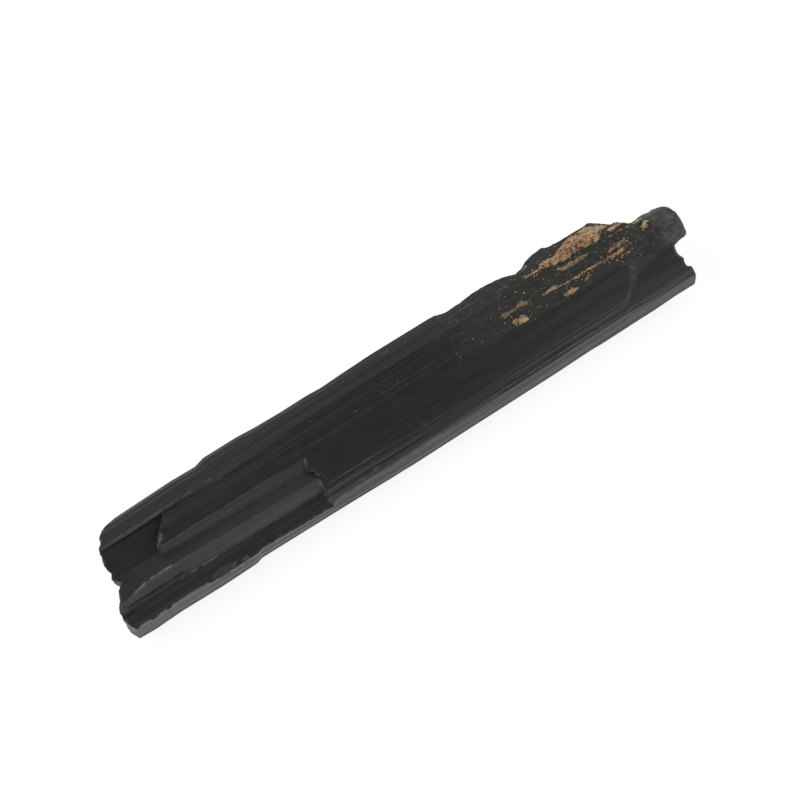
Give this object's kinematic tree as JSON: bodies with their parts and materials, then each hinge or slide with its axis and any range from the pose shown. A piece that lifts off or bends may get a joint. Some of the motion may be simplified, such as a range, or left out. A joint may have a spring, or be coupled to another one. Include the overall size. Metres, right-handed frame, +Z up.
{
  "type": "tourmaline crystal",
  "caption": "Long black tourmaline rod lying on a prism face: fine growth ridges along it, stepped broken layers, ragged ends, and tan host-rock crusts near one end.",
  "frame": {"origin": "under the middle of the rod's bounding box, on the surface that it lies on", "axes": "+X along the rod from its stepped end to its crusted end, +Y across it to the back, +Z up"},
  "size_m": [0.1342, 0.0198, 0.014],
  "materials": {
    "black_tourmaline": "satin",
    "tan_matrix": "matte"
  },
  "bodies": {
    "root": {"tourmaline_crystal": "black_tourmaline", "matrix_crust_back_edge": "tan_matrix", "matrix_crust_back_tail": "tan_matrix", "matrix_crust_seam": "tan_matrix", "matrix_crust_seam_lens": "tan_matrix", "matrix_crust_grey_patch": "tan_matrix", "matrix_crust_round_patch": "tan_matrix", "matrix_crust_low_patch": "tan_matrix", "matrix_crust_small_patch": "tan_matrix", "matrix_crust_end_patch": "tan_matrix"}
  },
  "joints": []
}
